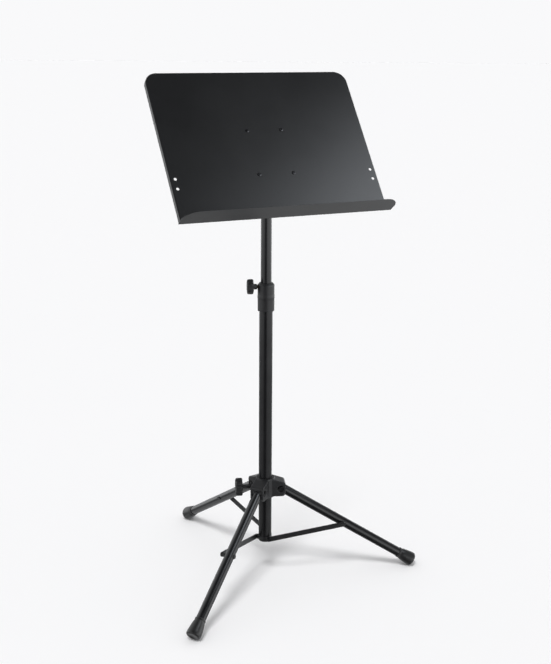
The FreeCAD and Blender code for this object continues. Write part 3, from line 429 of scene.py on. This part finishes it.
def build_desk(bm):
    """Front surface of the bent sheet: face, rolled rim, bend and ledge."""
    half, face, foot, top = DESK_HALF, DESK_FACE, DESK_FOOT, DESK_TOP
    corner, roll, bend = DESK_CORNER, DESK_ROLL, DESK_BEND
    wing = LEDGE_HALF - half
    seam = foot + DESK_SHEET + bend
    rim_start = foot + DESK_RELIEF
    start, end = rim_start - DESK_LAP, seam - bend * math.pi / 2

    def outline(inset):
        r = corner - inset
        points = [(-half + inset, rim_start)]
        for centre, first in ((-half + corner, 180.0), (half - corner, 90.0)):
            for step in range(0, 25):
                angle = math.radians(first - 90.0 * step / 24)
                points.append((centre + r * math.cos(angle), top - corner + r * math.sin(angle)))
        points.append((half - inset, rim_start))
        return points

    rings = []
    for step in range(0, 9):
        angle = math.radians(90.0 * step / 8)
        inset = roll * (1 - math.sin(angle))
        out = face - roll * (1 - math.cos(angle))
        rings.append([bm.verts.new((x, y, out)) for x, y in outline(inset)])
    rings.append([bm.verts.new((x, y, DESK_BACK)) for x, y in outline(0.0)])
    for one, other in zip(rings, rings[1:]):
        ring_between(bm, one, other)

    rows = []
    for step in range(0, 17):
        s = start + (end - start) * step / 16
        edge = half + wing * (1 - math.sqrt(1 - (step / 16) ** 2))
        turn = max(0.0, (seam - s) / bend)
        y = s if s > seam else seam - bend * math.sin(turn)
        z = face if s > seam else face + bend * (1 - math.cos(turn))
        rows.append((bm.verts.new((-edge, y, z)), bm.verts.new((edge, y, z))))
    for one, other in zip(rows, rows[1:]):
        bm.faces.new((one[0], one[1], other[1], other[0]))

    y = foot + DESK_SHEET
    rounded = []
    for centre, first in ((LEDGE_HALF - LEDGE_CORNER, 0.0), (LEDGE_CORNER - LEDGE_HALF, 90.0)):
        for step in range(0, 31):
            angle = math.radians(first + 90.0 * step / 30)
            rounded.append(bm.verts.new((centre + LEDGE_CORNER * math.cos(angle), y,
                                         LEDGE_NOSE + LEDGE_CORNER * (math.sin(angle) - 1))))
    bm.faces.new([rows[-1][1]] + rounded + [rows[-1][0]])

    inner = rings[0]
    edges = [bm.edges.get((a, b)) for a, b in zip(inner, inner[1:])]
    edges.append(bm.edges.new((inner[0], rows[0][0])))
    edges.append(bm.edges.get(rows[0]))
    edges.append(bm.edges.new((rows[0][1], inner[-1])))
    for x in (-HOLE_ACROSS, HOLE_ACROSS):
        for along in HOLE_LEVELS:
            loop = [bm.verts.new((x + HOLE_RADIUS * math.cos(math.radians(a)),
                                  along + HOLE_RADIUS * math.sin(math.radians(a)), face))
                    for a in range(0, 360, 12)]
            edges += [bm.edges.new((loop[i - 1], loop[i])) for i in range(len(loop))]
    bmesh.ops.triangle_fill(bm, edges=edges, use_beauty=True, normal=(0, 0, 1))


def make_desk(materials):
    """The desk as one bent sheet: its modelled front surface with the sheet's thickness."""
    mesh = mesh_from("desk_sheet", build_desk)
    piece = new_piece("desk_sheet", mesh, desk_frame(), "desk", "desk_paint", ["desk"], materials)
    up = sum((face.normal.z * face.area for face in mesh.polygons), 0.0)
    sheet = piece.modifiers.new("thickness", "SOLIDIFY")
    sheet.thickness = DESK_SHEET
    sheet.offset = -1.0 if up > 0 else 1.0
    sheet.use_even_offset = True
    soft_edges(piece, SHEET_EDGE)
    weighted = piece.modifiers.new("normals", "WEIGHTED_NORMAL")
    weighted.keep_sharp = True


def build_screw_heads(bm):
    """Domed heads with a cross recess, and the plain shanks behind them."""
    radius, height = HEAD_RADIUS, HEAD_HEIGHT
    for x in (-SCREW_ACROSS, SCREW_ACROSS):
        for y in (-SCREW_ALONG, SCREW_ALONG):
            rings = []
            for step in range(1, 25):
                r = radius * step / 24
                ring = []
                for i in range(64):
                    angle = math.tau * i / 64
                    dx, dy = r * math.cos(angle), r * math.sin(angle)
                    dome = height * math.sqrt(max(0.0, 1 - (r / radius) ** HEAD_DOME))
                    arm = max(abs(dx), abs(dy)) / (CROSS_REACH * radius)
                    wall = min(abs(dx), abs(dy)) / (CROSS_WIDTH * radius)
                    dip = max(0.0, 1 - max(arm, wall) ** 6) * CROSS_DEPTH * height
                    ring.append(bm.verts.new((x + dx, y + dy, DESK_FACE + dome - dip)))
                rings.append(ring)
            for one, other in zip(rings, rings[1:]):
                ring_between(bm, one, other, closed=True)
            middle = bm.verts.new((x, y, DESK_FACE + (1 - CROSS_DEPTH) * height))
            for i in range(64):
                bm.faces.new((middle, rings[0][i], rings[0][(i + 1) % 64]))
            inner = [bm.verts.new((x + SCREW_SHANK * math.cos(math.tau * i / 64),
                                   y + SCREW_SHANK * math.sin(math.tau * i / 64), DESK_FACE))
                     for i in range(64)]
            ring_between(bm, rings[-1], inner, closed=True)
            end = [bm.verts.new((v.co.x, v.co.y, SCREW_END)) for v in inner]
            ring_between(bm, inner, end, closed=True)
            bm.faces.new(end)


def make_screws(materials):
    """The four screws that hold the desk on its bracket."""
    mesh = mesh_from("screw_heads", build_screw_heads)
    new_piece("screw_heads", mesh, desk_frame(), "desk", "screw_steel", ["desk_screws"], materials)


def build_turned(bm, profile, lobes=0, depth=0.0, spokes=72):
    """Turned shape about Z from (height, radius, share) triples.

    share is how strongly the lobes are cut into that ring, from 0 to 1."""
    rings = []
    for height, radius, share in profile:
        ring = []
        for i in range(spokes):
            angle = math.tau * i / spokes
            wave = (0.5 - 0.5 * math.cos(lobes * angle)) ** 1.6 if lobes else 0.0
            r = radius * (1 - share * depth * wave)
            ring.append(bm.verts.new((r * math.cos(angle), r * math.sin(angle), height)))
        rings.append(ring)
    for one, other in zip(rings, rings[1:]):
        ring_between(bm, one, other, closed=True)
    bm.faces.new(rings[0])
    bm.faces.new(rings[-1])


def knob_profile(length, radius, thickness, neck):
    """Neck, swelling grip with rounded shoulders, and a face with a shallow dish."""
    grip = length - thickness
    round_off = 0.2 * thickness
    profile = [(0.0, 0.86 * neck, 0.0), (0.0008, neck, 0.0),
               (max(0.001, grip - 0.5 * neck), neck, 0.0), (grip - 0.0002, 1.12 * neck, 0.0),
               (grip, 1.3 * neck, 0.05), (grip, 0.6 * radius, 0.3)]
    for step in range(0, 9):
        angle = math.radians(90.0 * step / 8)
        profile.append((grip + round_off * (1 - math.cos(angle)),
                        radius - round_off * (1 - math.sin(angle)), 1.0))
    crown = 0.28 * thickness
    for step in range(0, 13):
        angle = math.radians(90.0 * step / 12)
        profile.append((length - crown * (1 - math.sin(angle)),
                        radius * (0.8 + 0.2 * math.cos(angle)), 1.0 - 0.6 * step / 12))
    profile += [(length - 0.0002, 0.6 * radius, 0.2), (length - 0.0012, 0.52 * radius, 0.0),
                (length - 0.0013, 0.1 * radius, 0.0)]
    return profile


def make_knobs(materials):
    """Clamp knobs: each lies where its node's box says, along its joint's axis."""
    for node, (radius, thickness, neck, length, lobes) in KNOBS.items():
        body = node.replace("knob", "clamp")
        entry = joint(body + "_turn")
        pivot, axis = Vector(entry["pos_m"]), Vector(entry["axis"]).normalized()
        low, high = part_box(node)
        middle = (Vector(low) + Vector(high)) / 2
        start = pivot + axis * (axis.dot(middle - pivot) - length / 2)
        profile = knob_profile(length, radius, thickness, neck)
        spokes = SPOKES_PER_LOBE * lobes
        mesh = mesh_from(node + "_grip",
                         lambda bm: build_turned(bm, profile, lobes, LOBE_DEPTH, spokes))
        new_piece(node + "_grip", mesh, frame_of(start, axis, (0, 0, 1)), body, "knob_plastic",
                  [node], materials)


def soften(node, body, slot, voxel, passes, materials):
    """Cast or moulded look: the node's own shape with small rounds in and out."""
    source = frame["nodes"][node]
    mesh = source.data.copy()
    mesh.name = node + "_cast"
    mesh.materials.clear()
    piece = new_piece(node + "_cast", mesh, source.matrix_world.copy(), body, slot, [node],
                      materials)
    grid = piece.modifiers.new("grid", "REMESH")
    grid.mode = "VOXEL"
    grid.voxel_size = voxel
    grid.use_smooth_shade = True
    blur = piece.modifiers.new("rounds", "SMOOTH")
    blur.factor = 0.5
    blur.iterations = passes


def press_on_floor(mesh, placement):
    """Flatten what would reach below the floor, as a foot's own weight does."""
    back = placement.inverted()
    for vertex in mesh.vertices:
        place = placement @ vertex.co
        if place.z < FLOOR_GAP:
            place.z = FLOOR_GAP
            vertex.co = back @ place


def make_caps(materials):
    """Rubber feet: a rolled lip, a groove, a flare and a rounded end that rests flat."""
    slope = math.radians(LEG_SLOPE)
    for name in LEGS:
        pivot = Vector(joint("leg_fold_" + name)["pos_m"])
        outwards = Vector((pivot.x, pivot.y, 0)).normalized()
        down = outwards * math.cos(slope) - Vector((0, 0, math.sin(slope)))
        placement = frame_of(pivot, down, (0, 0, 1))
        start, end = LEG_REACH - CAP_LENGTH, LEG_REACH
        profile = [(start + along, radius, 0) for along, radius in CAP_RIM]
        first, last = start + 0.0080, end - 0.0075
        for step in range(0, 13):
            share = step / 12
            swell = CAP_LIP + (CAP_END - CAP_LIP) * (share ** 0.66)
            profile.append((first + (last - first) * share, swell, 0))
        for step in range(1, 10):
            angle = math.radians(90.0 * step / 9)
            profile.append((end - CAP_ROUND * (1 - math.sin(angle)),
                            CAP_END - CAP_ROUND * (1 - math.cos(angle)), 0))
        profile.append((end, 0.45 * CAP_END, 0))
        profile.append((end - 0.0006, 0.40 * CAP_END, 0))
        mesh = mesh_from("cap_" + name, lambda bm: build_turned(bm, profile, spokes=96))
        press_on_floor(mesh, placement)
        new_piece("cap_" + name, mesh, placement, "leg_" + name, "foot_rubber",
                  ["foot_cap_" + name], materials)


def finish_nodes(materials):
    """Give every carried node its detailed finish."""
    for part in frame["record"]["subparts"]:
        node = frame["nodes"][part["node"]]
        if not node.material_slots:
            node.data.materials.append(None)
        for index in range(len(node.material_slots)):
            node.material_slots[index].material = materials[part["material_slot"]]
        if part["node"] in EDGED_NODES:
            soft_edges(node, EDGE_WIDTH)


def leave_desk_out_of_shadows():
    """Nothing on the desk's body throws a shadow or dims the diffuse light around it.

    Only the rest of the stand, the tilt knob included, darkens the floor."""
    for shown in scene.objects:
        if shown.get("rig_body") == "desk":
            shown.visible_shadow = False
            shown.visible_diffuse = False


make_camera()
make_studio()
finishes = make_materials()
finish_nodes(finishes)
make_desk(finishes)
make_screws(finishes)
make_knobs(finishes)
make_caps(finishes)
for casting in CASTINGS:
    soften(*casting, finishes)
leave_desk_out_of_shadows()
